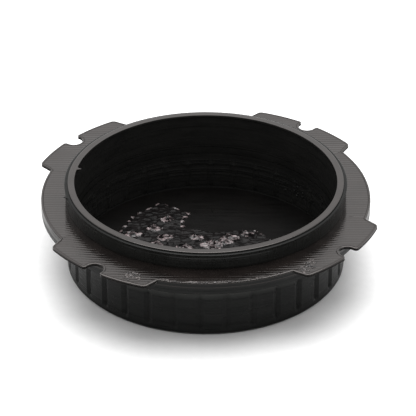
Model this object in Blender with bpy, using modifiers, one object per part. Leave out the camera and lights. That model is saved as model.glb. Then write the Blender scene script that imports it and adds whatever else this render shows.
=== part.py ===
"""Twist-on cap: an open collar, a flange with four notched lugs, a fluted grip and a closed floor.

Frame: the origin is the centre of the resting face, +Z is the cap's axis and points to the open
rim, and +X is to the right when the cap is seen from its front (-Y) side. Lengths are in metres.
"""
import math

import bmesh
import bpy
from mathutils import Matrix, Vector

MM = 0.001
CAP_NAME = "bayonet_cap"

# Driving dimensions
HEIGHT = 18.0 * MM
BODY_RADIUS = 27.0 * MM          # outside of the collar, the grip and the floor
WALL = 1.7 * MM
FLOOR_THICKNESS = 1.2 * MM
SLEEVE_BOTTOM = 7.9 * MM         # the fluted grip ends here and the smooth sleeve begins
FLANGE_RADIUS = 31.7 * MM
FLANGE_TOP = 14.7 * MM
FLANGE_THICKNESS = 2.5 * MM
LUG_RADIUS = 34.5 * MM
LUG_THICKNESS = 0.6 * MM
LUG_HALF_ANGLE = math.radians(18.9)
LUG_ROOT_FLARE = math.radians(2.5)   # a lug is this much wider, each side, where it joins the flange
LUG_ANGLES = {
    "lug_back_right": math.radians(52.0),
    "lug_back_left": math.radians(142.0),
    "lug_front_left": math.radians(232.0),
    "lug_front_right": math.radians(322.0),
}
NOTCH_DEPTH = 2.6 * MM
NOTCH_HALF_WIDTH = 1.7 * MM
FLUTE_COUNT = 34
FLUTE_DEPTH = 0.55 * MM
FLUTE_HALF_WIDTH = math.radians(2.6)
INNER_RIB_HEIGHT = 0.25 * MM
FLUTE_PHASE = math.radians(-92.3)    # one flute is centred here, just left of the front

# Small features
GAP = 0.3 * MM                   # clearance between neighbouring solids
CORNER_RADIUS = 0.7 * MM
NOTCH_MOUTH_RADIUS = 0.6 * MM
RIM_CHAMFER = 0.25 * MM
FLANGE_CHAMFER = 0.2 * MM
FOOT_CHAMFER = 0.5 * MM
RESIDUE_HEIGHT = 0.9 * MM
ARC_STEP = math.radians(3.0)
POINTS_PER_FLUTE = 8
TURN_STEPS = FLUTE_COUNT * 4

# Derived dimensions
BORE_RADIUS = BODY_RADIUS - WALL
FLANGE_BOTTOM = FLANGE_TOP - FLANGE_THICKNESS
FLANGE_BORE = BODY_RADIUS + GAP
LUG_BOTTOM = FLANGE_TOP - LUG_THICKNESS
POCKET_BOTTOM = LUG_BOTTOM - GAP

# Outline of the patch of torn support material on the floor, in millimetres
RESIDUE_OUTLINE_MM = [
    (-9.1, 18.6), (-14.4, 13.4), (-16.8, 8.0), (-16.0, 0.0), (-9.0, -5.5), (2.0, -6.5), (11.5, -3.0),
    (12.9, 4.4), (9.6, 8.0), (1.0, 7.6), (-4.6, 8.6), (-4.8, 12.0), (-3.4, 14.4),
]

# Colour of each part: one black print, so only small differences
PRINT_BLACK = (0.012, 0.0115, 0.011, 1.0)
FLANGE_BLACK = (0.020, 0.018, 0.017, 1.0)
TORN_BLACK = (0.016, 0.013, 0.013, 1.0)


def clear_scene():
    """Remove every object of the scene that is open."""
    for obj in list(bpy.data.objects):
        bpy.data.objects.remove(obj, do_unlink=True)


def new_collection(name):
    """Make a collection and link it to the scene."""
    collection = bpy.data.collections.new(name)
    bpy.context.scene.collection.children.link(collection)
    return collection


def plastic(name, color, roughness):
    """Make a plain plastic material."""
    material = bpy.data.materials.new(name)
    material.use_nodes = True
    shader = material.node_tree.nodes["Principled BSDF"]
    shader.inputs["Base Color"].default_value = color
    shader.inputs["Roughness"].default_value = roughness
    shader.inputs["Metallic"].default_value = 0.0
    return material


def polar(radius, angle):
    """Give the plan position at a radius and an angle from +X."""
    return Vector((radius * math.cos(angle), radius * math.sin(angle)))


def arc(radius, start, end):
    """Give points along an arc round the cap's axis, both ends included."""
    steps = max(1, round(abs(end - start) / ARC_STEP))
    return [polar(radius, start + (end - start) * i / steps) for i in range(steps + 1)]


def fillet(before, corner, after, radius, steps=4):
    """Give the points of a round corner between two straight sides."""
    to_before = (before - corner).normalized()
    to_after = (after - corner).normalized()
    half = to_before.angle(to_after) / 2
    middle = corner + (to_before + to_after).normalized() * (radius / math.sin(half))
    first = corner + to_before * (radius / math.tan(half)) - middle
    last = corner + to_after * (radius / math.tan(half)) - middle
    sweep = first.angle_signed(last)
    return [middle + Matrix.Rotation(-sweep * i / steps, 2) @ first for i in range(steps + 1)]


def turned(name, profile, material, collection):
    """Turn a closed profile of (radius, height) points round the Z axis."""
    mesh = bpy.data.meshes.new(name)
    edges = [(i, (i + 1) % len(profile)) for i in range(len(profile))]
    mesh.from_pydata([(radius, 0.0, height) for radius, height in profile], edges, [])
    obj = bpy.data.objects.new(name, mesh)
    collection.objects.link(obj)
    screw = obj.modifiers.new("turn", "SCREW")
    screw.steps = TURN_STEPS
    screw.render_steps = TURN_STEPS
    screw.use_merge_vertices = True
    screw.merge_threshold = 0.01 * MM
    screw.use_smooth_shade = True
    mesh.materials.append(material)
    return obj


def plate(name, loops, bottom, top, material, collection):
    """Extrude closed plan outlines between two heights; inner loops are holes."""
    curve = bpy.data.curves.new(name, "CURVE")
    curve.dimensions = "2D"
    curve.fill_mode = "BOTH"
    curve.extrude = (top - bottom) / 2
    for loop in loops:
        spline = curve.splines.new("POLY")
        spline.points.add(len(loop) - 1)
        for point, position in zip(spline.points, loop):
            point.co = (position.x, position.y, 0.0, 1.0)
        spline.use_cyclic_u = True
    curve.materials.append(material)
    obj = bpy.data.objects.new(name, curve)
    obj.location.z = (bottom + top) / 2
    collection.objects.link(obj)
    return obj


def as_cutter(plate_object, collection):
    """Replace a plate by a closed mesh that can cut another part."""
    bpy.context.view_layer.update()
    evaluated = plate_object.evaluated_get(bpy.context.evaluated_depsgraph_get())
    mesh = bpy.data.meshes.new_from_object(evaluated)
    shape = bmesh.new()
    shape.from_mesh(mesh)
    bmesh.ops.remove_doubles(shape, verts=shape.verts, dist=0.001 * MM)
    shape.to_mesh(mesh)
    shape.free()
    cutter = bpy.data.objects.new(plate_object.name + "_cutter", mesh)
    cutter.matrix_world = plate_object.matrix_world
    collection.objects.link(cutter)
    bpy.data.objects.remove(plate_object, do_unlink=True)
    cutter.hide_render = True
    cutter.display_type = "WIRE"
    return cutter


def lug_outline():
    """Outline of one lug, centred on +X: a flared sector with a round-bottomed notch."""
    root = LUG_HALF_ANGLE + LUG_ROOT_FLARE
    notch_centre = LUG_RADIUS - NOTCH_DEPTH + NOTCH_HALF_WIDTH
    mouth_angle = math.asin(NOTCH_HALF_WIDTH / LUG_RADIUS)
    notch_side = Vector((notch_centre, NOTCH_HALF_WIDTH))
    mouth = polar(LUG_RADIUS, mouth_angle)
    tip = polar(LUG_RADIUS, LUG_HALF_ANGLE)
    root_edge = polar(FLANGE_RADIUS, root)
    mouth_end = mouth_angle + 2 * NOTCH_MOUTH_RADIUS / LUG_RADIUS
    tip_start = LUG_HALF_ANGLE - 1.5 * CORNER_RADIUS / LUG_RADIUS
    half = []
    for i in range(7):
        turn = math.pi - i * math.pi / 12
        half.append(Vector((notch_centre + NOTCH_HALF_WIDTH * math.cos(turn),
                            NOTCH_HALF_WIDTH * math.sin(turn))))
    half += fillet(notch_side, mouth, polar(LUG_RADIUS, mouth_end), NOTCH_MOUTH_RADIUS)
    half += arc(LUG_RADIUS, mouth_end, tip_start)
    half += fillet(polar(LUG_RADIUS, tip_start), tip, root_edge, CORNER_RADIUS)
    half += [root_edge]
    half += arc(FLANGE_BORE, root, 0.0)
    mirrored = [Vector((point.x, -point.y)) for point in reversed(half[1:-1])]
    return half + mirrored


def pocket_outline():
    """Outline of the recess that a lug's root sits in, one gap wider than the lug."""
    root = LUG_HALF_ANGLE + LUG_ROOT_FLARE
    inside = FLANGE_BORE - GAP
    outside = FLANGE_RADIUS + GAP
    inner_angle = root + GAP / FLANGE_BORE
    outer_angle = root + GAP / FLANGE_RADIUS
    return arc(outside, -outer_angle, outer_angle) + arc(inside, inner_angle, -inner_angle)


def turned_outline(points, angle):
    """Turn a plan outline round the cap's axis."""
    rotation = Matrix.Rotation(angle, 2)
    return [rotation @ point for point in points]


def flute_depth(angle):
    """Relative flute depth at an angle: 1 in the middle of a flute and 0 on the land beside it."""
    pitch = 2 * math.pi / FLUTE_COUNT
    offset = (angle - FLUTE_PHASE + pitch / 2) % pitch - pitch / 2
    if abs(offset) >= FLUTE_HALF_WIDTH:
        return 0.0
    return math.cos(math.pi / 2 * offset / FLUTE_HALF_WIDTH)


def flute_angles():
    """Angles round the grip: each flute's round bottom, its two edges and the land beside it."""
    pitch = 2 * math.pi / FLUTE_COUNT
    across = POINTS_PER_FLUTE - 2
    angles = []
    for flute in range(FLUTE_COUNT):
        centre = FLUTE_PHASE + flute * pitch
        for i in range(across + 1):
            angles.append(centre + FLUTE_HALF_WIDTH * (2 * i / across - 1))
        angles.append(centre + pitch / 2)
    return angles


def grip_outlines():
    """Fluted outside and faintly ribbed inside of the grip."""
    outside = [polar(BODY_RADIUS - FLUTE_DEPTH * flute_depth(a), a) for a in flute_angles()]
    inside = [polar(BORE_RADIUS - INNER_RIB_HEIGHT * flute_depth(a), a) for a in flute_angles()]
    return [outside, inside]


def build_collar_sleeve(collection):
    """Smooth tube from the open rim, through the flange, down to the grip."""
    profile = [
        (BODY_RADIUS - RIM_CHAMFER, HEIGHT),
        (BODY_RADIUS, HEIGHT - RIM_CHAMFER),
        (BODY_RADIUS, SLEEVE_BOTTOM),
        (BORE_RADIUS, SLEEVE_BOTTOM),
        (BORE_RADIUS, HEIGHT - RIM_CHAMFER),
        (BORE_RADIUS + RIM_CHAMFER, HEIGHT),
    ]
    return turned("collar_sleeve", profile, plastic("collar_black", PRINT_BLACK, 0.42), collection)


def build_flange_ring(collection, cutters):
    """Flat ring round the sleeve, with a shallow pocket for the root of each lug."""
    profile = [
        (FLANGE_BORE, FLANGE_TOP),
        (FLANGE_RADIUS, FLANGE_TOP),
        (FLANGE_RADIUS, FLANGE_BOTTOM + FLANGE_CHAMFER),
        (FLANGE_RADIUS - FLANGE_CHAMFER, FLANGE_BOTTOM),
        (FLANGE_BORE, FLANGE_BOTTOM),
    ]
    ring = turned("flange_ring", profile, plastic("flange_black", FLANGE_BLACK, 0.55), collection)
    cutter_material = plastic("cutter", PRINT_BLACK, 0.5)
    for name, angle in LUG_ANGLES.items():
        outline = turned_outline(pocket_outline(), angle)
        pocket = plate(name + "_pocket", [outline], POCKET_BOTTOM, FLANGE_TOP + GAP,
                       cutter_material, cutters)
        cut = ring.modifiers.new(name + "_pocket", "BOOLEAN")
        cut.operation = "DIFFERENCE"
        cut.solver = "EXACT"
        cut.object = as_cutter(pocket, cutters)
    return ring


def build_lugs(collection):
    """Four thin lugs at 90 degrees, each let into its pocket and notched at its middle."""
    for name, angle in LUG_ANGLES.items():
        outline = turned_outline(lug_outline(), angle)
        material = plastic(name + "_black", FLANGE_BLACK, 0.55)
        plate(name, [outline], LUG_BOTTOM, FLANGE_TOP, material, collection)


def build_grip_skirt(collection):
    """Fluted wall between the floor and the sleeve."""
    return plate("grip_skirt", grip_outlines(), FLOOR_THICKNESS + GAP, SLEEVE_BOTTOM - GAP,
                 plastic("grip_black", PRINT_BLACK, 0.45), collection)


def build_base_disc(collection):
    """Closed floor, with a small chamfer round the resting face."""
    profile = [
        (0.0, FLOOR_THICKNESS),
        (BODY_RADIUS, FLOOR_THICKNESS),
        (BODY_RADIUS, FOOT_CHAMFER),
        (BODY_RADIUS - FOOT_CHAMFER, 0.0),
        (0.0, 0.0),
    ]
    return turned("base_disc", profile, plastic("base_black", PRINT_BLACK, 0.5), collection)


def build_support_residue(collection):
    """Patch of torn support material that is left on the floor."""
    outline = [Vector((x * MM, y * MM)) for x, y in RESIDUE_OUTLINE_MM]
    bottom = FLOOR_THICKNESS + GAP
    return plate("support_residue", [outline], bottom, bottom + RESIDUE_HEIGHT,
                 plastic("torn_black", TORN_BLACK, 0.25), collection)


def main():
    """Build the whole cap."""
    clear_scene()
    parts = new_collection(CAP_NAME)
    cutters = new_collection("cutters")
    build_base_disc(parts)
    build_grip_skirt(parts)
    build_collar_sleeve(parts)
    build_flange_ring(parts, cutters)
    build_lugs(parts)
    build_support_residue(parts)


main()
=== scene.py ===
"""Looks of the printed bayonet cap: each CAD node gets a finely printed surface and a plastic material.

Lengths are in metres, in the CAD frame: +Z is the cap's axis and the front is -Y.
"""
import math

import bmesh
import bpy
import numpy as np
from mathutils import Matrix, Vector, noise
from mathutils.bvhtree import BVHTree


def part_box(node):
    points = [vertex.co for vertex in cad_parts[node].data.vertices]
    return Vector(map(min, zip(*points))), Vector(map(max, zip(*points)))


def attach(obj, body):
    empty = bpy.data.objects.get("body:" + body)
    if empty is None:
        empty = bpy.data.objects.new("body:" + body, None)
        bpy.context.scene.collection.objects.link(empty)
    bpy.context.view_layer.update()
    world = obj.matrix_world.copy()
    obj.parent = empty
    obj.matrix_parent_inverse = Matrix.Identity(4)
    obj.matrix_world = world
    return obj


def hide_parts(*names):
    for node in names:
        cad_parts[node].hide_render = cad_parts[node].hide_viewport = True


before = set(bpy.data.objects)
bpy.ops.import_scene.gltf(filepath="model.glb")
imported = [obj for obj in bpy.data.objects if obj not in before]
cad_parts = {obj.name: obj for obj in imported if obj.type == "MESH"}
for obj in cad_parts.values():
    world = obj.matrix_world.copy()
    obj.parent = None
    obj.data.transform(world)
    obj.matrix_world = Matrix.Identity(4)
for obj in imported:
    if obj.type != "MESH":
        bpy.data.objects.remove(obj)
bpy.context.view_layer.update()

MM = 0.001
RANDOM = np.random.default_rng(11)

# How the print was laid down
LAYER = 0.25 * MM                # height of one printed layer
LAYER_GROOVE = 0.022 * MM        # depth of the groove between two layers
LAYER_WANDER = 0.012 * MM        # how far one layer stands out past the next
WANDER_COUNT = 90                # layers before the random offsets repeat, more than the cap has
LINE = 0.42 * MM                 # width of one extruded line
LINE_GROOVE = 0.007 * MM         # depth of the groove between two lines
JOINT_HALF_WIDTH = 0.07 * MM     # half the width of the groove between two raster lines
RASTER_TILT = 0.020 * MM         # how much a raster line's one side lies lower than its other
EMBED = 0.1 * MM                 # how far the flange and the lugs run into the sleeve's wall


def node_radii(name):
    """Smallest and largest distance of a CAD node from the cap's axis."""
    radii = [math.hypot(v.co.x, v.co.y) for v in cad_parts[name].data.vertices]
    return min(radii), max(radii)


def node_span(name):
    """Lowest and highest point of a CAD node."""
    low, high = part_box(name)
    return low.z, high.z


def node_angle(name):
    """The angle round the axis at which a CAD node stands."""
    points = [v.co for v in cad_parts[name].data.vertices]
    middle = sum(points, Vector()) / len(points)
    return math.atan2(middle.y, middle.x)


# The frame's own sizes
BORE_RADIUS, BODY_RADIUS = node_radii("collar_sleeve")
FLANGE_RADIUS = node_radii("flange_ring")[1]
LUG_RADIUS = node_radii("lug_front_left")[1]
SLEEVE_BOTTOM, RIM = node_span("collar_sleeve")
FLANGE_BOTTOM, FLANGE_TOP = node_span("flange_ring")
LUG_BOTTOM = node_span("lug_front_left")[0]
FLOOR = node_span("base_disc")[1]
LUG_NODES = ["lug_back_right", "lug_back_left", "lug_front_left", "lug_front_right"]
LUG_ANGLES = {name: node_angle(name) for name in LUG_NODES}
INNER_RADIUS = BODY_RADIUS - EMBED

# Outline of a lug: the CAD solid's, but a little narrower at the tip and with rounder corners
LUG_HALF_ANGLE = math.radians(18.75)
LUG_ROOT_ANGLE = math.radians(21.4)
NOTCH_DEPTH = 2.6 * MM
NOTCH_HALF_WIDTH = 1.7 * MM
NOTCH_MOUTH_RADIUS = 0.6 * MM
CORNER_RADIUS = 1.05 * MM
ARC_STEP = math.radians(0.5)

# Flutes, which stand where the CAD solid has them but are narrower and shallower
FLUTE_COUNT = 34
FLUTE_PITCH = 2 * math.pi / FLUTE_COUNT
FLUTE_PHASE = math.radians(-92.3)
FLUTE_DEPTH = 0.38 * MM
FLUTE_HALF_WIDTH = math.radians(1.8)
INNER_RIB_HEIGHT = 0.25 * MM
FLUTE_LOW = 1.25 * MM
FLUTE_HIGH = 11.9 * MM           # where a flute has run out under the flange
FLUTE_RUNOUT = 4.0 * MM          # how far below that it starts to get shallower
FLUTE_RAMP = 0.45 * MM           # height over which a flute's foot deepens
RIB_RAMP = 1.2 * MM              # height over which an inner rib fades at either end

# Chamfers, the flange's a little crisper than the CAD solid's
FLANGE_CHAMFER = 0.16 * MM
FOOT_CHAMFER = 0.5 * MM


# ---------------------------------------------------------------- mesh helpers

def polar(radius, angle):
    """Plan position at a radius and an angle from +X."""
    return Vector((radius * math.cos(angle), radius * math.sin(angle)))


def new_object(name, shape, sharp_degrees=35.0):
    """Turn a bmesh into an object, its doubled points merged and its faces pointing out.

    The surface is smooth except at edges sharper than the given angle.
    """
    bmesh.ops.remove_doubles(shape, verts=shape.verts, dist=0.0002 * MM)
    bmesh.ops.dissolve_degenerate(shape, edges=shape.edges, dist=0.0001 * MM)
    bmesh.ops.recalc_face_normals(shape, faces=shape.faces)
    mesh = bpy.data.meshes.new(name)
    shape.to_mesh(mesh)
    shape.free()
    mesh.shade_smooth()
    mesh.set_sharp_from_angle(angle=math.radians(sharp_degrees))
    obj = bpy.data.objects.new(name, mesh)
    bpy.context.scene.collection.objects.link(obj)
    return obj


def ring_shape(columns):
    """A bmesh ring from columns, one closed profile for each angle."""
    shape = bmesh.new()
    grid = [[shape.verts.new(point) for point in column] for column in columns]
    for left, right in zip(grid, grid[1:] + grid[:1]):
        for k in range(len(left)):
            m = (k + 1) % len(left)
            shape.faces.new((left[k], right[k], right[m], left[m]))
    return shape


def layer_heights(low, high):
    """Heights of the layer joints and of the layers' middles, from low to high."""
    first = math.ceil(low / LAYER + 0.01)
    last = math.floor(high / LAYER - 0.01)
    rows = [low]
    for layer in range(first, last + 1):
        rows += [layer * LAYER, (layer + 0.5) * LAYER]
    return [z for z in rows if z < high - LAYER * 0.2] + [high]


def layer_offset(z, wander):
    """How far a wall stands out at a height: each layer by its own wander, and less at a joint."""
    layer = z / LAYER
    at_joint = abs(layer - round(layer)) < 0.05
    return wander[int(layer) % len(wander)] - (LAYER_GROOVE if at_joint else 0.0)


def new_wander():
    """A random offset for each layer."""
    return RANDOM.normal(0, LAYER_WANDER, WANDER_COUNT)


def angle_gap(a, b):
    """Signed difference of two angles, between -pi and pi."""
    return (a - b + math.pi) % (2 * math.pi) - math.pi


def add_lump(shape, place, size, turn):
    """Add a small crumpled lump of plastic, turned about its upright axis."""
    ball = bmesh.ops.create_icosphere(shape, subdivisions=3, radius=1.0)
    cosine, sine = math.cos(turn), math.sin(turn)
    for vert in ball["verts"]:
        direction = vert.co.copy()
        grow = 1.0 + 0.35 * noise.noise(direction * 1.7 + Vector(place) / MM)
        x, y, z = (part * length * grow for part, length in zip(direction, size))
        vert.co = Vector(place) + Vector((x * cosine - y * sine, x * sine + y * cosine, z))


# ---------------------------------------------------------------- flutes

def flute_shape(angle):
    """Relative flute depth: 1 in the middle of a flute and 0 on the lands."""
    offset = (angle - FLUTE_PHASE + FLUTE_PITCH / 2) % FLUTE_PITCH - FLUTE_PITCH / 2
    return max(0.0, 1.0 - abs(offset) / FLUTE_HALF_WIDTH)


def flute_fade(z):
    """1 along a flute, falling to 0 at its foot and more slowly under the flange."""
    low = min(max((z - FLUTE_LOW) / FLUTE_RAMP, 0.0), 1.0)
    high = min(max((FLUTE_HIGH - z) / FLUTE_RUNOUT, 0.0), 1.0)
    return min(low, high)


def rib_fade(z):
    """1 along an inner rib, falling to 0 at both ends of the skirt."""
    low = min(max((z - FLUTE_LOW) / RIB_RAMP, 0.0), 1.0)
    high = min(max((SLEEVE_BOTTOM - z) / RIB_RAMP, 0.0), 1.0)
    return min(low, high)


# ---------------------------------------------------------------- collar sleeve

LIP_OUT = 0.16 * MM              # the first printed layer, at the rim, spread by this much
LIP_IN = 0.10 * MM
LIP_HEIGHT = 0.50 * MM
BEAD_DROP = 0.24 * MM            # the rim's outermost bead lies this much lower
RIM_GROOVE_RADIUS = BORE_RADIUS + 1.27 * MM
RIM_GROOVE_DEPTH = 0.26 * MM
SEAM_OUTSIDE = math.radians(193.6)
SEAM_INSIDE = math.radians(170.7)
SEAM_WIDTH = math.radians(0.65)
SEAM_STEP = math.radians(0.12)   # angles this close together follow a seam
SMALLEST_STEP = 0.0003           # angles closer than this, in radians, are left out
SEAM_HEIGHT = 0.10 * MM          # how far an ordinary layer's blob stands out
SEAM_BLOB = 0.80 * MM            # how far the blob at the rim stands out
SEAM_BLOB_REACH = 0.55 * MM      # how far down from the rim that blob reaches


def seam_bump(angle, z, centre, jitter):
    """Height of the column of small blobs where each layer started, largest at the rim."""
    row = int(z / LAYER) % len(jitter)
    offset = angle_gap(angle, centre + jitter[row]) / SEAM_WIDTH
    blob = SEAM_HEIGHT * (0.6 + 0.8 * (jitter[row] / SEAM_WIDTH) ** 2)
    top = SEAM_BLOB * math.exp(-((RIM - z) / SEAM_BLOB_REACH) ** 2)
    return (blob + top) * math.exp(-offset * offset)


def rim_lines():
    """Section of the flat rim: three extruded lines side by side, inside the outer bead's groove."""
    inner = BORE_RADIUS - LIP_IN * 0.4
    width = (RIM_GROOVE_RADIUS - 0.07 * MM - inner) / 3
    points = [(RIM_GROOVE_RADIUS, RIM - RIM_GROOVE_DEPTH, 0)]
    for line in range(3):
        edge = inner + (3 - line) * width
        groove = LINE_GROOVE * 1.2 if line else 0.03 * MM
        points += [(edge, RIM - groove, 0), (edge - width * 0.2, RIM, 0), (edge - width * 0.8, RIM, 0)]
    return points + [(inner, RIM, 0)]


def collar_profile():
    """Closed section of the sleeve as (radius, height, side).

    The side is 1 outside, -1 inside and 0 on the rim.
    """
    lip_low = RIM - LIP_HEIGHT
    rows = layer_heights(SLEEVE_BOTTOM, lip_low - LAYER * 0.3)
    outside = [(BODY_RADIUS, z, 1) for z in rows]
    inside = [(BORE_RADIUS, z, -1) for z in reversed(rows)]
    lip_outside = [
        (BODY_RADIUS - 0.05 * MM, lip_low, 1),
        (BODY_RADIUS + LIP_OUT * 0.8, lip_low + 0.05 * MM, 1),
        (BODY_RADIUS + LIP_OUT, RIM - BEAD_DROP - 0.10 * MM, 1),
        (BODY_RADIUS + LIP_OUT * 0.5, RIM - BEAD_DROP - 0.03 * MM, 1),
        (BODY_RADIUS - LIP_OUT * 0.5, RIM - BEAD_DROP, 1),
        (RIM_GROOVE_RADIUS + 0.08 * MM, RIM - BEAD_DROP - 0.02 * MM, 1),
    ]
    lip_inside = [
        (BORE_RADIUS - LIP_IN * 0.7, RIM - 0.02 * MM, -1),
        (BORE_RADIUS - LIP_IN, RIM - 0.10 * MM, -1),
        (BORE_RADIUS - LIP_IN * 0.8, lip_low + 0.04 * MM, -1),
        (BORE_RADIUS + 0.05 * MM, lip_low, -1),
    ]
    return outside + lip_outside + rim_lines() + lip_inside + inside


def collar_column(angle, profile, wanders, jitter):
    """The sleeve's section at one angle."""
    points = []
    for radius, z, side in profile:
        waver = noise.noise(Vector((math.cos(angle) * 9, math.sin(angle) * 9, z * 900)))
        if side == 0:
            z -= abs(waver) * 0.012 * MM
        else:
            seam = SEAM_OUTSIDE if side == 1 else SEAM_INSIDE
            if side == 1 and z < FLANGE_BOTTOM:
                radius -= FLUTE_DEPTH * flute_shape(angle) * flute_fade(z)
            radius += side * (layer_offset(z, wanders[side]) + waver * 0.010 * MM)
            radius += side * seam_bump(angle, z, seam, jitter)
        points.append((radius * math.cos(angle), radius * math.sin(angle), z))
    return points


def sleeve_angles():
    """Angles that follow the flutes' upper ends and, more closely, the two seams."""
    angles = []
    land = FLUTE_PITCH - 2 * FLUTE_HALF_WIDTH
    for flute in range(FLUTE_COUNT):
        centre = FLUTE_PHASE + flute * FLUTE_PITCH
        angles += [centre + FLUTE_HALF_WIDTH * i / 2 for i in range(-2, 3)]
        angles += [centre + FLUTE_HALF_WIDTH + land * i / 3 for i in (1, 2)]
    for centre in (SEAM_OUTSIDE, SEAM_INSIDE):
        angles += [centre + SEAM_STEP * i for i in range(-13, 14)]
    angles = sorted(angle % (2 * math.pi) for angle in angles)
    return [a for a, after in zip(angles, angles[1:] + [10.0]) if after - a > SMALLEST_STEP]


def collar_sleeve():
    """Smooth tube with its layers, its spread first layer at the rim, and its two seams."""
    profile = collar_profile()
    wanders = {1: new_wander(), -1: new_wander()}
    jitter = RANDOM.uniform(-0.4, 0.4, WANDER_COUNT) * SEAM_WIDTH
    columns = [collar_column(angle, profile, wanders, jitter) for angle in sleeve_angles()]
    return new_object("collar_sleeve_print", ring_shape(columns))


# ---------------------------------------------------------------- grip skirt

INNER_LEDGE = 0.012 * MM         # the skirt's bore is this much tighter than the sleeve's
INNER_FOOT = 0.06 * MM           # how far the inner wall spreads where it meets the floor
INNER_FOOT_REACH = 0.18 * MM
SPECK_COUNT = 16
SPECK_DEGREES = (30, 54)         # the specks lie between these angles and these heights
SPECK_HEIGHTS_MM = (3.6, 6.4)


def grip_angles():
    """Angles that follow the flutes closely and the lands coarsely."""
    angles = []
    land = FLUTE_PITCH - 2 * FLUTE_HALF_WIDTH
    for flute in range(FLUTE_COUNT):
        centre = FLUTE_PHASE + flute * FLUTE_PITCH
        angles += [centre + FLUTE_HALF_WIDTH * i / 6 for i in range(-6, 7)]
        angles += [centre + FLUTE_HALF_WIDTH + land * i / 4 for i in (1, 2, 3)]
    return angles


def grip_column(angle, rows, wander_out, wander_in):
    """The skirt's section at one angle, up its outside and down its inside."""
    shape = flute_shape(angle)
    cosine, sine = math.cos(angle), math.sin(angle)
    points = []
    for z in rows:
        radius = BODY_RADIUS - FLUTE_DEPTH * shape * flute_fade(z) + layer_offset(z, wander_out)
        points.append((radius * cosine, radius * sine, z))
    for z in reversed(rows):
        foot = INNER_FOOT * math.exp(-((z - FLOOR) / INNER_FOOT_REACH) ** 2)
        radius = BORE_RADIUS - INNER_LEDGE - INNER_RIB_HEIGHT * shape * rib_fade(z) - foot
        radius -= layer_offset(z, wander_in)
        points.append((radius * cosine, radius * sine, z))
    return points


def add_specks(shape):
    """Specks of stray plastic low on the inner wall, at the back right."""
    for _ in range(SPECK_COUNT):
        angle = math.radians(RANDOM.uniform(*SPECK_DEGREES))
        z = RANDOM.uniform(*SPECK_HEIGHTS_MM) * MM
        size = RANDOM.uniform(0.10, 0.26) * MM
        place = polar(BORE_RADIUS - INNER_LEDGE - INNER_RIB_HEIGHT * flute_shape(angle), angle)
        add_lump(shape, (place.x, place.y, z), (size * 0.7, size * 1.8, size), angle)


def grip_skirt():
    """Fluted wall with its layers, and a faint rib inside behind each flute."""
    rows = layer_heights(FLOOR, SLEEVE_BOTTOM)
    wander_out, wander_in = new_wander(), new_wander()
    shape = ring_shape([grip_column(angle, rows, wander_out, wander_in) for angle in grip_angles()])
    add_specks(shape)
    return new_object("grip_skirt_print", shape, 14.0)


# ---------------------------------------------------------------- base disc

DISC_STEPS = 240
DIP_DEPTH = 0.02 * MM            # how deep the patches of the floor dip
DIP_SIZE = 4 * MM


def disc_profile():
    """Section of the floor disc from the middle of its top to the middle of its underside."""
    edge = BODY_RADIUS
    points = [(radius, FLOOR) for radius in np.linspace(0.0, edge - 0.05 * MM, 60)]
    points += [(edge, FLOOR - LAYER * 0.5), (edge - LAYER_GROOVE, FLOOR - LAYER)]
    points += [(edge, FLOOR - LAYER * 1.5), (edge, FOOT_CHAMFER + 0.05 * MM)]
    points += [(edge - FOOT_CHAMFER, 0.0)]
    points += [(radius, 0.0) for radius in np.linspace(edge - FOOT_CHAMFER, 0.0, 40)[1:]]
    return points


def base_disc():
    """Floor disc whose top dips a little between patches, with one stray thread of plastic on it."""
    columns = []
    for i in range(DISC_STEPS):
        angle = 2 * math.pi * i / DISC_STEPS
        column = []
        for radius, z in disc_profile():
            spot = Vector((radius * math.cos(angle), radius * math.sin(angle), 0)) / DIP_SIZE
            dip = DIP_DEPTH * (0.5 + 0.5 * noise.noise(spot)) if z == FLOOR else 0.0
            column.append((radius * math.cos(angle), radius * math.sin(angle), z - dip))
        columns.append(column)
    shape = bmesh.new()
    grid = [[shape.verts.new(point) for point in column] for column in columns]
    for left, right in zip(grid, grid[1:] + grid[:1]):
        for k in range(len(left) - 1):
            shape.faces.new((left[k], right[k], right[k + 1], left[k + 1]))
    add_lump(shape, (1.3 * MM, 15.7 * MM, FLOOR), (0.12 * MM, 0.9 * MM, 0.10 * MM), math.radians(8))
    return new_object("base_disc_print", shape)


# ---------------------------------------------------------------- flange and lugs

# Top edge of the flange and the lugs: how far in from the outline, and how far below the top
TOP_EDGE = [
    (0.0, 0.12 * MM), (0.04 * MM, 0.03 * MM), (0.12 * MM, 0.0), (0.34 * MM, 0.0),
    (LINE, 0.080 * MM), (LINE + 0.08 * MM, 0.0),
]
ROUGH_POINTS = 3                 # how many of these, from the outline inwards, the rough edge moves
ROUGH_CENTRE = math.radians(-90)
ROUGH_HALF_WIDTH = math.radians(30)
ROUGH_SIZE = 0.8 * MM            # size of its lumps, and how far they go in and up
ROUGH_INWARD = 0.20 * MM
ROUGH_UPWARD = 0.22 * MM
ROUGH_LIMIT = 0.45               # noise weaker than this leaves the edge as it is


def raster_depth(y):
    """Depth of the lines that fill the top: neighbours tilt opposite ways, with joints between."""
    line = y / LINE
    tilt = abs((line / 2) % 1.0 - 0.5) * 2
    at_joint = abs(line - round(line)) < 0.01
    return RASTER_TILT * tilt + (LINE_GROOVE if at_joint else 0.0)


def raster_cuts(low, high):
    """Where the lines' joints and their two shoulders lie between two values of y."""
    cuts = []
    for line in range(math.floor(low / LINE), math.ceil(high / LINE) + 1):
        cuts += [line * LINE + side * JOINT_HALF_WIDTH for side in (-1, 0, 1)]
    return [y for y in cuts if low < y < high]


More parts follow.
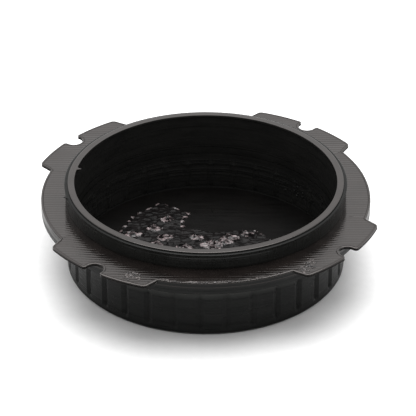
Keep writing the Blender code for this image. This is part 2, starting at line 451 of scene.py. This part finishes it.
def rasterise(shape, face):
    """Cut a flat top face along the raster lines and press the lines' shape into it."""
    ys = [vert.co.y for vert in face.verts]
    done, rest = [], [face]
    for y in raster_cuts(min(ys), max(ys)):
        geometry = set(rest)
        for part in rest:
            geometry |= set(part.edges) | set(part.verts)
        result = bmesh.ops.bisect_plane(shape, geom=list(geometry), dist=0.0001 * MM,
                                        plane_co=(0, y, 0), plane_no=(0, 1, 0))
        faces = [item for item in result["geom"] if isinstance(item, bmesh.types.BMFace)]
        rest = [part for part in faces if part.calc_center_median().y > y]
        done += [part for part in faces if part.calc_center_median().y <= y]
    for vert in {vert for part in done + rest for vert in part.verts}:
        vert.co.z = FLANGE_TOP - raster_depth(vert.co.y)


def edge_rough(place):
    """Irregular lumps along the top edge, large only at the front where the print was supported."""
    angle = math.atan2(place.y, place.x)
    front = math.exp(-(angle_gap(angle, ROUGH_CENTRE) / ROUGH_HALF_WIDTH) ** 4)
    rough = noise.turbulence(Vector((place.x, place.y, 0)) / ROUGH_SIZE, 3, False)
    return front * max(0.0, rough - ROUGH_LIMIT)


def roughen_edge(verts):
    """Press the lumps into the points of the top edge."""
    for vert in verts:
        plan = Vector((vert.co.x, vert.co.y))
        lump = edge_rough(plan)
        plan *= 1 - ROUGH_INWARD * lump / plan.length
        vert.co = Vector((plan.x, plan.y, vert.co.z + ROUGH_UPWARD * lump))


def add_torn_lumps(shape, count, start, end, middle, spread):
    """Small torn lumps on the top between two angles, scattered about a radius."""
    for _ in range(count):
        place = polar(middle + RANDOM.normal(0, spread), math.radians(RANDOM.uniform(start, end)))
        size = RANDOM.uniform(0.10, 0.24) * MM
        turn = RANDOM.uniform(0, 3)
        add_lump(shape, (place.x, place.y, FLANGE_TOP), (size * 1.6, size, size * 0.6), turn)


def rounded(before, corner, after, radius, steps):
    """Points of a round corner between two straight sides."""
    to_before = (before - corner).normalized()
    to_after = (after - corner).normalized()
    half = to_before.angle(to_after) / 2
    middle = corner + (to_before + to_after).normalized() * (radius / math.sin(half))
    reach = radius / math.tan(half)
    first = (corner + to_before * reach - middle).normalized()
    last = (corner + to_after * reach - middle).normalized()
    return [middle + first.slerp(last, i / steps) * radius for i in range(steps + 1)]


def arc(radius, start, end):
    """Points along an arc round the cap's axis, both ends included."""
    steps = max(1, round(abs(end - start) / ARC_STEP))
    return [polar(radius, start + (end - start) * i / steps) for i in range(steps + 1)]


def notch_arc():
    """Half of the notch's round bottom."""
    centre = LUG_RADIUS - NOTCH_DEPTH + NOTCH_HALF_WIDTH
    turns = [math.pi - i * math.pi / 24 for i in range(13)]
    return [Vector((centre + NOTCH_HALF_WIDTH * math.cos(turn), NOTCH_HALF_WIDTH * math.sin(turn)))
            for turn in turns]


def lug_half_outline():
    """Half of a lug's free edge from the bottom of its notch to its root, centred on +X."""
    mouth_angle = math.asin(NOTCH_HALF_WIDTH / LUG_RADIUS)
    mouth_end = mouth_angle + 2 * NOTCH_MOUTH_RADIUS / LUG_RADIUS
    tip_start = LUG_HALF_ANGLE - 1.5 * CORNER_RADIUS / LUG_RADIUS
    root = polar(FLANGE_RADIUS, LUG_ROOT_ANGLE)
    points = notch_arc()
    points += rounded(points[-1], polar(LUG_RADIUS, mouth_angle), polar(LUG_RADIUS, mouth_end),
                      NOTCH_MOUTH_RADIUS, 8)
    points += arc(LUG_RADIUS, mouth_end, tip_start)
    points += rounded(polar(LUG_RADIUS, tip_start), polar(LUG_RADIUS, LUG_HALF_ANGLE), root,
                      CORNER_RADIUS, 8)
    return points + [points[-1].lerp(root, i / 6) for i in range(1, 7)]


def without_doubles(points):
    """Drop each point that lies on the one before it."""
    kept = [points[0]]
    for point in points[1:]:
        if (point - kept[-1]).length > 0.01 * MM:
            kept.append(point)
    return kept


def lug_edge(centre_angle):
    """The free edge of a lug, from one root to the other, turned to its place."""
    half = without_doubles(lug_half_outline())
    edge = [Vector((p.x, -p.y)) for p in reversed(half[1:])] + half
    cosine, sine = math.cos(centre_angle), math.sin(centre_angle)
    return [Vector((p.x * cosine - p.y * sine, p.x * sine + p.y * cosine)) for p in edge]


def inset(edge, distance):
    """Move a free edge inwards, its two ends straight towards the axis."""
    moved = []
    for i, point in enumerate(edge):
        if i in (0, len(edge) - 1):
            moved.append(point * (1 - distance / point.length))
            continue
        along = edge[i + 1] - edge[i - 1]
        moved.append(point + Vector((-along.y, along.x)).normalized() * distance)
    return moved


def lug_levels():
    """How far in and how high each loop round a lug lies, from its underside to its top."""
    levels = [(0.30 * MM, LUG_BOTTOM), (0.04 * MM, LUG_BOTTOM), (-0.02 * MM, LUG_BOTTOM + 0.04 * MM)]
    levels += [(-0.02 * MM, LUG_BOTTOM + 0.12 * MM), (0.16 * MM, LUG_BOTTOM + 0.19 * MM)]
    levels += [(0.05 * MM, LUG_BOTTOM + 0.24 * MM), (0.05 * MM, LUG_BOTTOM + 0.37 * MM)]
    levels += [(0.08 * MM, LUG_BOTTOM + 0.40 * MM), (0.03 * MM, LUG_BOTTOM + 0.43 * MM)]
    return levels + [(distance, FLANGE_TOP - depth) for distance, depth in TOP_EDGE]


def lug_loops(shape, edge, inner):
    """The loops of points round a lug, one for each level."""
    loops = []
    for distance, z in lug_levels():
        loop = [shape.verts.new((p.x, p.y, z)) for p in inset(edge, distance)]
        top = z > LUG_BOTTOM + 0.5 * MM and distance > 0.05 * MM
        for p in inner:
            height = FLANGE_TOP - raster_depth(p.y) if top else z
            loop.append(shape.verts.new((p.x, p.y, height)))
        loops.append(loop)
    return loops


# Between which angles, in degrees, a lug's end is torn where the support was broken off
TORN_ENDS = {"lug_front_left": (-117.0, -111.5), "lug_front_right": (-57.5, -50.0)}
TORN_END_COUNT = 44
TORN_END_RADIUS = 32.0 * MM
TORN_END_SPREAD = 0.6 * MM

# Torn lumps on the flange: count, two angles in degrees, distance in from its edge, and spread
TORN_FLANGE = [(26, -106.0, -84.0, 0.25 * MM, 0.12 * MM), (14, -84.0, -63.0, 0.22 * MM, 0.08 * MM)]
FLANGE_STEP = math.radians(0.35)


def lug(node):
    """One thin notched lug with a bead along its edge and raster lines on its top."""
    centre = LUG_ANGLES[node]
    inner = arc(INNER_RADIUS, centre + LUG_ROOT_ANGLE, centre - LUG_ROOT_ANGLE)
    shape = bmesh.new()
    loops = lug_loops(shape, lug_edge(centre), inner)
    count = len(loops[0])
    for lower, upper in zip(loops, loops[1:]):
        for i in range(count):
            j = (i + 1) % count
            shape.faces.new((lower[i], lower[j], upper[j], upper[i]))
    shape.faces.new(list(reversed(loops[0])))
    first = len(loops) - len(TOP_EDGE)
    roughen_edge([vert for loop in loops[first:first + ROUGH_POINTS] for vert in loop])
    rasterise(shape, shape.faces.new(loops[-1]))
    if node in TORN_ENDS:
        add_torn_lumps(shape, TORN_END_COUNT, *TORN_ENDS[node], TORN_END_RADIUS, TORN_END_SPREAD)
    return new_object(node + "_print", shape, 16.0)


def flange_profile(top):
    """Closed section of the flange, cut off at a given top."""
    rows = layer_heights(FLANGE_BOTTOM + FLANGE_CHAMFER, FLANGE_TOP - 0.12 * MM)
    section = [(INNER_RADIUS, FLANGE_BOTTOM), (FLANGE_RADIUS - FLANGE_CHAMFER, FLANGE_BOTTOM)]
    section += [(FLANGE_RADIUS, z) for z in rows]
    section += [(FLANGE_RADIUS - distance, FLANGE_TOP - depth) for distance, depth in TOP_EDGE]
    section += [(INNER_RADIUS, FLANGE_TOP)]
    return [(radius, min(z, top)) for radius, z in section]


def flange_stations():
    """Angles round the flange in order, each with whether it is on a land or under a lug."""
    centres = sorted(angle % (2 * math.pi) for angle in LUG_ANGLES.values())
    stations = []
    for centre, after in zip(centres, centres[1:] + [centres[0] + 2 * math.pi]):
        spans = [(centre - LUG_ROOT_ANGLE, centre + LUG_ROOT_ANGLE, False)]
        spans += [(centre + LUG_ROOT_ANGLE, after - LUG_ROOT_ANGLE, True)]
        for start, end, is_land in spans:
            steps = round((end - start) / FLANGE_STEP)
            stations += [(start + (end - start) * i / steps, is_land) for i in range(steps + 1)]
    return stations


def flange_column(shape, angle, is_land, wander):
    """The flange's section at one angle."""
    column = []
    for radius, z in flange_profile(FLANGE_TOP if is_land else LUG_BOTTOM):
        if radius == FLANGE_RADIUS:
            radius += layer_offset(z, wander)
        column.append(shape.verts.new((radius * math.cos(angle), radius * math.sin(angle), z)))
    return column


def flange_ring():
    """Ring with layered sides, a bead along its top edge, and a flat seat under each lug.

    Raster lines fill its top between the lugs.
    """
    shape = bmesh.new()
    wander = new_wander() * 1.5
    stations = flange_stations()
    columns = [flange_column(shape, angle, is_land, wander) for angle, is_land in stations]
    top = len(columns[0]) - 2
    tops, land = [], []
    for i, column in enumerate(columns):
        after = (i + 1) % len(columns)
        both_land = stations[i][1] and stations[after][1]
        for k in range(len(column)):
            m = (k + 1) % len(column)
            if k != top or not both_land:
                shape.faces.new((column[k], columns[after][k], columns[after][m], column[m]))
        if stations[i][1]:
            land.append(column)
            if not stations[after][1]:
                rim = [c[top] for c in land]
                inner = [c[top + 1] for c in reversed(land)]
                tops.append(shape.faces.new(rim + inner))
                land = []
    lands = [column for column, (_, is_land) in zip(columns, stations) if is_land]
    first = top + 1 - len(TOP_EDGE)
    roughen_edge([vert for column in lands for vert in column[first:first + ROUGH_POINTS]])
    for face in tops:
        rasterise(shape, face)
    for count, start, end, distance, spread in TORN_FLANGE:
        add_torn_lumps(shape, count, start, end, FLANGE_RADIUS - distance, spread)
    return new_object("flange_ring_print", shape, 16.0)


# ---------------------------------------------------------------- support residue

STRAND_PITCH = 0.84 * MM         # from the middle of one strand to the next
STRAND_TOOTH = 0.55 * MM         # how far every other strand sticks out past its neighbours
CELL = (0.16 * MM, 0.14 * MM)    # size of the skin's grid cells
RESIDUE_LOW = FLOOR - 0.05 * MM
RESIDUE_HIGH = 1.5 * MM          # highest torn point over the floor
FACET_PITCH = (1.25 * MM, 0.80 * MM)  # mean distance between crumple facets
HIGHLIGHT_LIMIT = 0.36               # how strongly a facet has to be crumpled to get the painted highlight colour

# The crumpled lumps, in millimetres: plan position and reach
LUMPS_MM = [
    (-7.7, 11.6, 1.5), (-10.1, 8.0, 1.6), (-14.4, 5.8, 1.8), (-8.2, 4.6, 1.8), (-9.6, 2.0, 1.5),
    (-1.9, 4.6, 1.5), (1.4, 1.9, 2.4), (3.6, 3.3, 2.0), (-4.1, 0.9, 1.8), (5.0, 4.5, 1.6),
    (8.2, 6.1, 1.4),
]


def crumpled(x, y):
    """How much of a lump there is at a plan point, from 0 to 1."""
    x, y = x / MM, y / MM
    near = [((x - a) ** 2 + ((y - b) * 1.5) ** 2) / reach ** 2 for a, b, reach in LUMPS_MM]
    return math.exp(-min(near))


class Residue:
    """Torn strands over the plan of the CAD solid, crumpled into lumps here and there."""

    def __init__(self):
        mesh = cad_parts["support_residue"].data
        points = [v.co for v in mesh.vertices]
        self.tree = BVHTree.FromPolygons(points, [p.vertices for p in mesh.polygons])
        low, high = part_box("support_residue")
        self.xs = np.arange(low.x - 3 * STRAND_TOOTH, high.x + 3 * STRAND_TOOTH, CELL[0])
        self.ys = np.arange(low.y - 3 * CELL[1], high.y + 3 * CELL[1], CELL[1])
        self.corner = (self.xs[0], self.ys[0])
        count = [int((high[k] - low[k]) / FACET_PITCH[k]) + 6 for k in (0, 1)]
        self.shifts = RANDOM.uniform(0.1, 0.9, (*count, 2))
        self.slopes = RANDOM.normal(0, 1.0, (*count, 2))
        self.heights = RANDOM.uniform(0, 1.0, count)

    def inside(self, x, y):
        """Whether a plan point lies over the CAD solid."""
        return self.tree.ray_cast(Vector((x, y, 0)), Vector((0, 0, 1)))[0] is not None

    def covered(self, x, y):
        """Whether a plan point is on a strand, counting the teeth where strands end."""
        strand = math.floor(y / STRAND_PITCH)
        across = y / STRAND_PITCH - strand
        if strand % 2:
            tooth = STRAND_TOOTH * math.sqrt(max(0.0, 1 - (2 * across - 1) ** 2))
            return self.inside(x - tooth, y) or self.inside(x + tooth, y)
        return self.inside(x, y)

    def facet(self, x, y):
        """The nearest crumple facet's own height, and the surface blended from all the facets near."""
        u = (x - self.corner[0]) / FACET_PITCH[0] + 1
        v = (y - self.corner[1]) / FACET_PITCH[1] + 1
        total, weights, best = 0.0, 0.0, (9.0, 0)
        for i in range(int(u) - 1, int(u) + 2):
            for j in range(int(v) - 1, int(v) + 2):
                du, dv = u - i - self.shifts[i, j, 0], v - j - self.shifts[i, j, 1]
                square = du * du + dv * dv + 0.01
                weight = 1 / square ** 4
                tilt = du * self.slopes[i, j, 0] * 0.5 + dv * self.slopes[i, j, 1] * 0.5
                total += weight * (self.heights[i, j] + tilt)
                weights += weight
                best = min(best, (square, self.heights[i, j]))
        return best[1], total / weights

    def height(self, x, y):
        """Height of the torn surface."""
        across = (y / STRAND_PITCH) % 1.0
        strand = 0.06 * MM * (1 - (2 * across - 1) ** 2)
        _, crumple = self.facet(x, y)
        grain = noise.noise(Vector((x, y * 1.6, 0)) / (0.5 * MM))
        lump = crumpled(x, y)
        rise = (0.24 + 0.80 * lump) * crumple * MM + (0.02 + 0.08 * lump) * grain * MM
        return FLOOR + min(max(0.14 * MM + strand + 0.35 * lump * MM + rise, 0.04 * MM), RESIDUE_HIGH)

    def highlighted(self, x, y):
        """Whether a face gets the painted highlight colour: on many facets of a lump, and on the teeth.
        """
        within = self.inside(x - 0.3 * MM, y) and self.inside(x + 0.3 * MM, y)
        if math.floor(y / STRAND_PITCH) % 2 and not within:
            return True
        height, _ = self.facet(x, y)
        return crumpled(x, y) * (0.55 + 0.6 * height) > HIGHLIGHT_LIMIT


def support_residue():
    """The torn support left on the floor as one closed crumpled skin."""
    residue = Residue()
    xs, ys = residue.xs, residue.ys
    cells = [[residue.covered(x + CELL[0] / 2, y + CELL[1] / 2) for y in ys] for x in xs]
    shape = bmesh.new()
    tops, feet = {}, {}

    def corner(i, j):
        """Top and bottom points of a grid corner."""
        if (i, j) not in tops:
            whole = all(cells[a][b] for a in (i - 1, i) for b in (j - 1, j))
            z = residue.height(xs[i], ys[j]) if whole else FLOOR + 0.05 * MM
            tops[i, j] = shape.verts.new((xs[i], ys[j], z))
            feet[i, j] = shape.verts.new((xs[i], ys[j], RESIDUE_LOW))
        return tops[i, j], feet[i, j]

    for i in range(1, len(xs) - 1):
        for j in range(1, len(ys) - 1):
            if not cells[i][j]:
                continue
            ring = [corner(i, j), corner(i + 1, j), corner(i + 1, j + 1), corner(i, j + 1)]
            face = shape.faces.new([top for top, _ in ring])
            # faces chosen here get the painted highlight colour
            face.material_index = int(residue.highlighted(xs[i] + CELL[0] / 2, ys[j] + CELL[1] / 2))
            shape.faces.new([foot for _, foot in reversed(ring)])
            sides = [(0, 1, cells[i][j - 1]), (1, 2, cells[i + 1][j]),
                     (2, 3, cells[i][j + 1]), (3, 0, cells[i - 1][j])]
            for a, b, covered in sides:
                if not covered:
                    shape.faces.new((ring[a][1], ring[b][1], ring[b][0], ring[a][0]))
    return new_object("support_residue_print", shape, 55.0)


# ---------------------------------------------------------------- materials

class Plastic:
    """Builds one Principled material out of procedural noise in the object's own space."""

    def __init__(self, name):
        self.material = bpy.data.materials.new(name)
        self.material.use_nodes = True
        self.nodes = self.material.node_tree.nodes
        self.links = self.material.node_tree.links
        self.shader = self.nodes["Principled BSDF"]
        self.place = self.nodes.new("ShaderNodeTexCoord").outputs["Object"]

    def grain(self, size, detail=3.0, stretch=(1.0, 1.0, 1.0)):
        """Noise whose patches are about the given size, stretched along the axes."""
        mapping = self.nodes.new("ShaderNodeMapping")
        mapping.inputs["Scale"].default_value = [1.0 / (size * s) for s in stretch]
        self.links.new(self.place, mapping.inputs["Vector"])
        node = self.nodes.new("ShaderNodeTexNoise")
        node.inputs["Scale"].default_value = 1.0
        node.inputs["Detail"].default_value = detail
        self.links.new(mapping.outputs["Vector"], node.inputs["Vector"])
        return node.outputs["Fac"]

    def ramp(self, value, low, high, start=0.35, end=0.65):
        """Colours from low to high as a value goes from start to end."""
        node = self.nodes.new("ShaderNodeValToRGB")
        node.color_ramp.elements[0].position = start
        node.color_ramp.elements[1].position = end
        node.color_ramp.elements[0].color = (*low, 1.0)
        node.color_ramp.elements[1].color = (*high, 1.0)
        self.links.new(value, node.inputs["Fac"])
        return node.outputs["Color"]

    def range(self, value, low, high, start=0.3, end=0.7):
        """A number from low to high as a value goes from start to end."""
        node = self.nodes.new("ShaderNodeMapRange")
        for name, number in (("From Min", start), ("From Max", end), ("To Min", low), ("To Max", high)):
            node.inputs[name].default_value = number
        self.links.new(value, node.inputs["Value"])
        return node.outputs["Result"]

    def bump(self, value, depth, below=None):
        """Bump of a given depth, added over another bump."""
        node = self.nodes.new("ShaderNodeBump")
        node.inputs["Strength"].default_value = 1.0
        node.inputs["Distance"].default_value = depth
        self.links.new(value, node.inputs["Height"])
        if below is not None:
            self.links.new(below, node.inputs["Normal"])
        return node.outputs["Normal"]

    def set(self, colour, roughness, normal, specular):
        """Join the parts to the shader."""
        self.links.new(colour, self.shader.inputs["Base Color"])
        self.links.new(roughness, self.shader.inputs["Roughness"])
        self.links.new(normal, self.shader.inputs["Normal"])
        self.shader.inputs["Specular IOR Level"].default_value = specular
        return self.material


# Darkest and palest black of the walls
WALL_BLACK = ((0.0030, 0.0033, 0.0030), (0.0048, 0.0050, 0.0045))


def wall_plastic():
    """Black plastic of the walls, satin, with patches that changed a little from layer to layer."""
    plastic = Plastic("wall_plastic")
    patches = plastic.grain(5 * MM, 4.0, (1.0, 1.0, 0.25))
    streaks = plastic.grain(1.0 * MM, 3.0, (4.0, 4.0, 0.5))
    pits = plastic.grain(0.22 * MM, 2.0)
    colour = plastic.ramp(patches, *WALL_BLACK)
    roughness = plastic.range(streaks, 0.26, 0.38)
    normal = plastic.bump(pits, 0.010 * MM, plastic.bump(streaks, 0.02 * MM))
    return plastic.set(colour, roughness, normal, 0.12)


def lit_inner_plastic():
    """Black plastic of the inner walls, painted paler than the walls' black as painted light, to
    brighten the bore.
    """
    plastic = Plastic("lit_inner_plastic")
    patches = plastic.grain(5 * MM, 4.0, (1.0, 1.0, 0.25))
    streaks = plastic.grain(1.0 * MM, 3.0, (0.6, 0.6, 4.0))
    # painted light: a paler black than the walls', to brighten the bore
    colour = plastic.ramp(patches, (0.0105, 0.0105, 0.0100), (0.0150, 0.0148, 0.0140))
    roughness = plastic.range(streaks, 0.28, 0.40)
    return plastic.set(colour, roughness, plastic.bump(streaks, 0.012 * MM), 0.20)


def lit_outer_plastic():
    """Plastic of the sleeve's outside above the flange, a little glossier than the grip, its black
    painted paler than the grip's as painted light.
    """
    plastic = Plastic("lit_outer_plastic")
    patches = plastic.grain(5 * MM, 4.0, (1.0, 1.0, 0.25))
    streaks = plastic.grain(1.2 * MM, 3.0, (0.8, 0.8, 5.0))
    # painted light: a paler black than the grip's, to brighten the sleeve above the flange
    colour = plastic.ramp(patches, (0.0068, 0.0072, 0.0066), (0.0098, 0.0100, 0.0092))
    roughness = plastic.range(streaks, 0.24, 0.34)
    return plastic.set(colour, roughness, plastic.bump(streaks, 0.012 * MM), 0.24)


REFLECTION_RISE = 1.8 * MM            # height over which the painted reflection sets in


def reflection_band_plastic():
    """Black plastic with a painted reflection: grey right under the flange, black again lower down,
    where the flutes are deep.
    """
    plastic = Plastic("reflection_band_plastic")
    patches = plastic.grain(4 * MM, 4.0, (1.0, 1.0, 0.3))
    streaks = plastic.grain(0.8 * MM, 3.0, (4.0, 4.0, 0.4))
    plain_black = plastic.ramp(patches, *WALL_BLACK)
    # painted reflection: a grey that stands in for the floor's reflection just under the flange
    reflection_grey = plastic.ramp(streaks, (0.024, 0.025, 0.023), (0.036, 0.037, 0.034))
    split = plastic.nodes.new("ShaderNodeSeparateXYZ")
    plastic.links.new(plastic.place, split.inputs["Vector"])
    share = plastic.range(split.outputs["Z"], 0.0, 1.0, SLEEVE_BOTTOM, SLEEVE_BOTTOM + REFLECTION_RISE)
    blend = plastic.nodes.new("ShaderNodeMix")
    blend.data_type = "RGBA"
    plastic.links.new(share, blend.inputs["Factor"])
    plastic.links.new(plain_black, blend.inputs["A"])
    plastic.links.new(reflection_grey, blend.inputs["B"])
    roughness = plastic.range(streaks, 0.28, 0.42)
    return plastic.set(blend.outputs["Result"], roughness, plastic.bump(streaks, 0.02 * MM), 0.12)


def shaded_floor_plastic():
    """Duller brown-black plastic of the floor inside the cup, painted darker than the walls as painted
    shade.
    """
    plastic = Plastic("shaded_floor_plastic")
    patches = plastic.grain(6 * MM, 5.0)
    streaks = plastic.grain(0.5 * MM, 3.0, (12.0, 1.0, 1.0))
    # painted shade: a darker black than the walls', to darken the floor inside the cup
    colour = plastic.ramp(patches, (0.0016, 0.0014, 0.0013), (0.0028, 0.0024, 0.0021))
    roughness = plastic.range(streaks, 0.40, 0.55)
    return plastic.set(colour, roughness, plastic.bump(streaks, 0.015 * MM), 0.12)


def flange_plastic():
    """Grey-brown bloom on the flange's top face, streaked along the raster lines."""
    plastic = Plastic("flange_plastic")
    patches = plastic.grain(3 * MM, 4.0, (2.0, 1.0, 1.0))
    streaks = plastic.grain(0.5 * MM, 3.0, (9.0, 1.0, 1.0))
    pits = plastic.grain(0.25 * MM, 2.0)
    colour = plastic.ramp(patches, (0.0050, 0.0040, 0.0037), (0.0100, 0.0078, 0.0070))
    roughness = plastic.range(streaks, 0.09, 0.16)
    normal = plastic.bump(pits, 0.003 * MM, plastic.bump(streaks, 0.004 * MM))
    plastic.shader.inputs["Specular Tint"].default_value = (1.0, 0.93, 0.90, 1.0)
    return plastic.set(colour, roughness, normal, 0.70)


def torn_plastic():
    """Black torn plastic."""
    plastic = Plastic("torn_plastic")
    patches = plastic.grain(1.6 * MM, 4.0, (1.5, 0.8, 1.0))
    threads = plastic.grain(0.3 * MM, 2.0, (3.0, 1.0, 1.0))
    colour = plastic.ramp(patches, (0.0020, 0.0017, 0.0017), (0.0060, 0.0048, 0.0048))
    roughness = plastic.range(threads, 0.36, 0.52)
    return plastic.set(colour, roughness, plastic.bump(threads, 0.04 * MM), 0.12)


def highlight_torn_plastic(name, highlight_colour):
    """Torn black plastic with a painted highlight: patches of a pale colour stand in for its gloss,
    between black threads.
    """
    plastic = Plastic(name)
    patches = plastic.grain(0.50 * MM, 4.0, (3.0, 0.7, 0.7))
    threads = plastic.grain(0.25 * MM, 2.0, (3.0, 1.0, 1.0))
    # painted highlight: the pale colour stands in for the torn plastic's gloss
    colour = plastic.ramp(patches, (0.006, 0.005, 0.005), highlight_colour, 0.46, 0.64)
    roughness = plastic.range(threads, 0.20, 0.36)
    return plastic.set(colour, roughness, plastic.bump(threads, 0.05 * MM), 0.45)


# ---------------------------------------------------------------- stage

STUDIO_SIZE = 4.0
CAMERA_PLACE = Vector((0.0, -0.3910, 0.2485))
CAMERA_TARGET = Vector((0.00043, -0.00284, 0.01318))
CAMERA_LENS_MM = 204.5
SENSOR_WIDTH_MM = 36.0
TENT_FRONT = 0.55                # brightness of the tent's wall in front of the cap, and behind it
TENT_BACK = 1.25
PANEL_RADIUS = 0.42
PANEL_HEIGHT = 0.75
PANEL_BACK = 0.10
PANEL_RADIANCE = 4.2


def studio_floor():
    """Plain pale floor under the cap."""
    bpy.ops.mesh.primitive_plane_add(size=STUDIO_SIZE)
    floor = bpy.context.object
    floor.name = "studio_floor"
    card = Plastic("studio_card")
    fibres = card.grain(1.5 * MM, 3.0)
    colour = card.ramp(fibres, (0.885, 0.885, 0.885), (0.905, 0.905, 0.905))
    floor.data.materials.append(card.set(colour, card.range(fibres, 0.9, 1.0),
                                         card.bump(fibres, 0.002 * MM), 0.0))


def tent_gradient(tree, background):
    """Make the tent brighter behind the cap than in front of it."""
    direction = tree.nodes.new("ShaderNodeTexCoord").outputs["Generated"]
    split = tree.nodes.new("ShaderNodeSeparateXYZ")
    strength = tree.nodes.new("ShaderNodeMapRange")
    limits = {"From Min": -1.0, "From Max": 1.0, "To Min": TENT_FRONT, "To Max": TENT_BACK}
    for name, number in limits.items():
        strength.inputs[name].default_value = number
    tree.links.new(direction, split.inputs["Vector"])
    tree.links.new(split.outputs["Y"], strength.inputs["Value"])
    tree.links.new(strength.outputs["Result"], background.inputs["Strength"])


def overhead_panel():
    """Soft round light straight above the cap."""
    data = bpy.data.lights.new("overhead_panel", "AREA")
    data.shape = "DISK"
    data.size = 2 * PANEL_RADIUS
    data.energy = PANEL_RADIANCE * math.pi * math.pi * PANEL_RADIUS ** 2
    panel = bpy.data.objects.new("overhead_panel", data)
    place = Vector((0.0, PANEL_BACK, PANEL_HEIGHT))
    panel.location = place
    panel.rotation_euler = (-place).to_track_quat("-Z", "Y").to_euler()
    bpy.context.scene.collection.objects.link(panel)


def studio_light():
    """Even white light from all sides, as inside a light tent, and a soft overhead panel."""
    world = bpy.data.worlds.new("light_tent")
    world.use_nodes = True
    background = world.node_tree.nodes["Background"]
    background.inputs["Color"].default_value = (1.0, 1.0, 1.0, 1.0)
    bpy.context.scene.world = world
    tent_gradient(world.node_tree, background)
    overhead_panel()
    bpy.context.scene.view_settings.view_transform = "Standard"
    bpy.context.scene.view_settings.look = "None"


def studio_camera():
    """Camera in front of the cap and above it."""
    data = bpy.data.cameras.new("camera")
    data.lens = CAMERA_LENS_MM
    data.sensor_width = SENSOR_WIDTH_MM
    data.clip_start = 0.01
    data.clip_end = 20.0
    camera = bpy.data.objects.new("camera", data)
    bpy.context.scene.collection.objects.link(camera)
    camera.location = CAMERA_PLACE
    camera.rotation_euler = (CAMERA_TARGET - CAMERA_PLACE).to_track_quat("-Z", "Y").to_euler()
    bpy.context.scene.camera = camera


# ---------------------------------------------------------------- assembly

FLAT_FACING = 0.35               # a face whose normal rises or falls more than this is flat
WALL_DEPTH = 0.5 * MM            # a face this far out from the bore is on the wall's outside


def paint(piece, material, chosen):
    """Give a material to the faces that a test chooses by centre, distance from the axis and normal."""
    piece.data.materials.append(material)
    slot = len(piece.data.materials) - 1
    for face in piece.data.polygons:
        if chosen(face.center, math.hypot(face.center.x, face.center.y), face.normal):
            face.material_index = slot


def is_flat(centre, radius, normal):
    """Whether a face looks up or down."""
    return abs(normal.z) > FLAT_FACING


def is_inner(centre, radius, normal):
    """Whether a face belongs to the bore."""
    return radius < BORE_RADIUS + 0.15 * MM and abs(normal.z) <= FLAT_FACING


def is_above_flange(centre, radius, normal):
    """Whether a face belongs to the sleeve's outside between the flange and the rim."""
    return radius > BORE_RADIUS + WALL_DEPTH and FLANGE_TOP < centre.z < RIM - LIP_HEIGHT


def is_under_flange(centre, radius, normal):
    """Whether a face belongs to the sleeve's outside under the flange."""
    return radius > BORE_RADIUS + WALL_DEPTH and centre.z < FLANGE_BOTTOM


def is_torn(centre, radius, normal):
    """Whether a face belongs to a torn lump on the flange or on a lug."""
    return centre.z > FLANGE_TOP + 0.012 * MM and radius > FLANGE_RADIUS - 1.5 * MM


def is_rim(centre, radius, normal):
    """Whether a face belongs to the rim's flat part."""
    return is_flat(centre, radius, normal) and centre.z > RIM - LIP_HEIGHT and radius < RIM_GROOVE_RADIUS


def dress(piece, node, material):
    """Give a piece its material and let it stand for its CAD node."""
    piece.data.materials.append(material)
    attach(piece, "root")
    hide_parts(node)


def build_cup(walls, tops):
    """Floor, skirt and sleeve."""
    inner = lit_inner_plastic()
    disc, skirt, sleeve = base_disc(), grip_skirt(), collar_sleeve()
    for piece, node in ((disc, "base_disc"), (skirt, "grip_skirt"), (sleeve, "collar_sleeve")):
        dress(piece, node, walls)
    # the floor inside the cup gets painted shade
    paint(disc, shaded_floor_plastic(), lambda centre, radius, normal: normal.z > 0.5)
    # the bore gets the painted light of the paler black
    paint(skirt, inner, is_inner)
    paint(sleeve, inner, is_inner)
    # the sleeve above the flange gets painted light
    paint(sleeve, lit_outer_plastic(), is_above_flange)
    # the sleeve under the flange gets the painted reflection
    paint(sleeve, reflection_band_plastic(), is_under_flange)
    paint(sleeve, tops, is_rim)


def build_cap():
    """Every piece of the cap."""
    walls, tops = wall_plastic(), flange_plastic()
    # painted highlight on the torn lumps of the flange and the lugs
    torn = highlight_torn_plastic("torn_edge_plastic", (0.12, 0.104, 0.100))
    build_cup(walls, tops)
    ring = flange_ring()
    dress(ring, "flange_ring", walls)
    paint(ring, tops, is_flat)
    paint(ring, torn, is_torn)
    for node in LUG_NODES:
        piece = lug(node)
        dress(piece, node, walls)
        paint(piece, tops, is_flat)
        paint(piece, torn, is_torn)
    residue = support_residue()
    dress(residue, "support_residue", torn_plastic())
    # painted highlight colour for the residue's chosen faces
    residue.data.materials.append(highlight_torn_plastic("highlight_torn_plastic", (0.27, 0.218, 0.220)))


build_cap()
studio_floor()
studio_light()
studio_camera()
